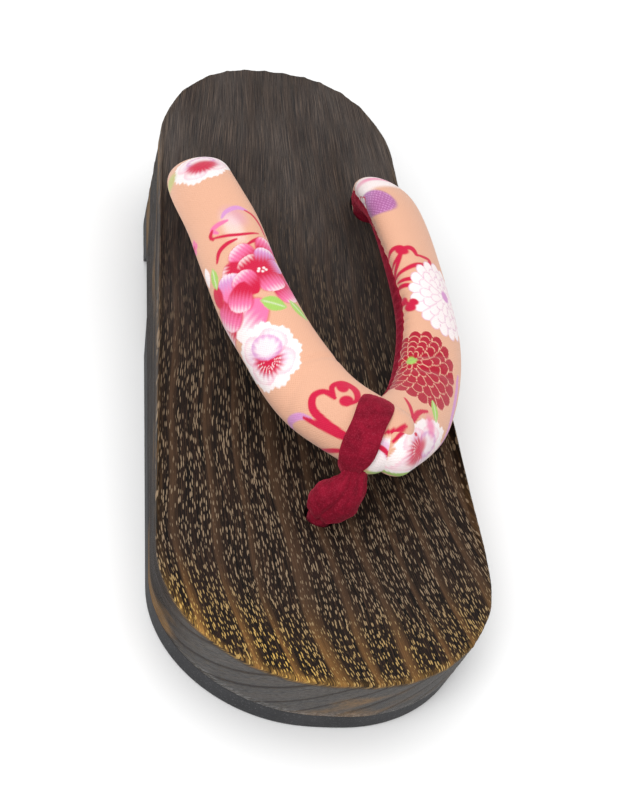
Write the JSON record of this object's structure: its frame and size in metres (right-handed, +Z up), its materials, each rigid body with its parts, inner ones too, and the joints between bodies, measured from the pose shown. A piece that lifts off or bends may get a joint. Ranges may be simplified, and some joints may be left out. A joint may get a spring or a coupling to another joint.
{
  "type": "geta sandal",
  "caption": "Women's rounded geta sandal: arched burnt-paulownia base, rubber pads under forefoot and heel, padded floral V strap and velvet front loop.",
  "frame": {"origin": "on the floor, under the middle of the base's length and width", "axes": "+Z up from the floor, +Y from toe to heel along the length, +X to the right when looked at from the toe, which is the wearer's left"},
  "size_m": [0.0982, 0.2398, 0.0589],
  "materials": {
    "burnt_wood": "burnt and brushed, satin",
    "sole_rubber": "matt",
    "print_cotton": "printed floral cotton over padding",
    "velvet": "short-pile velvet"
  },
  "bodies": {
    "root": {"base_wood": "burnt_wood", "forefoot_pad": "sole_rubber", "heel_pad": "sole_rubber", "strap": "print_cotton", "front_loop": "velvet"}
  },
  "joints": []
}
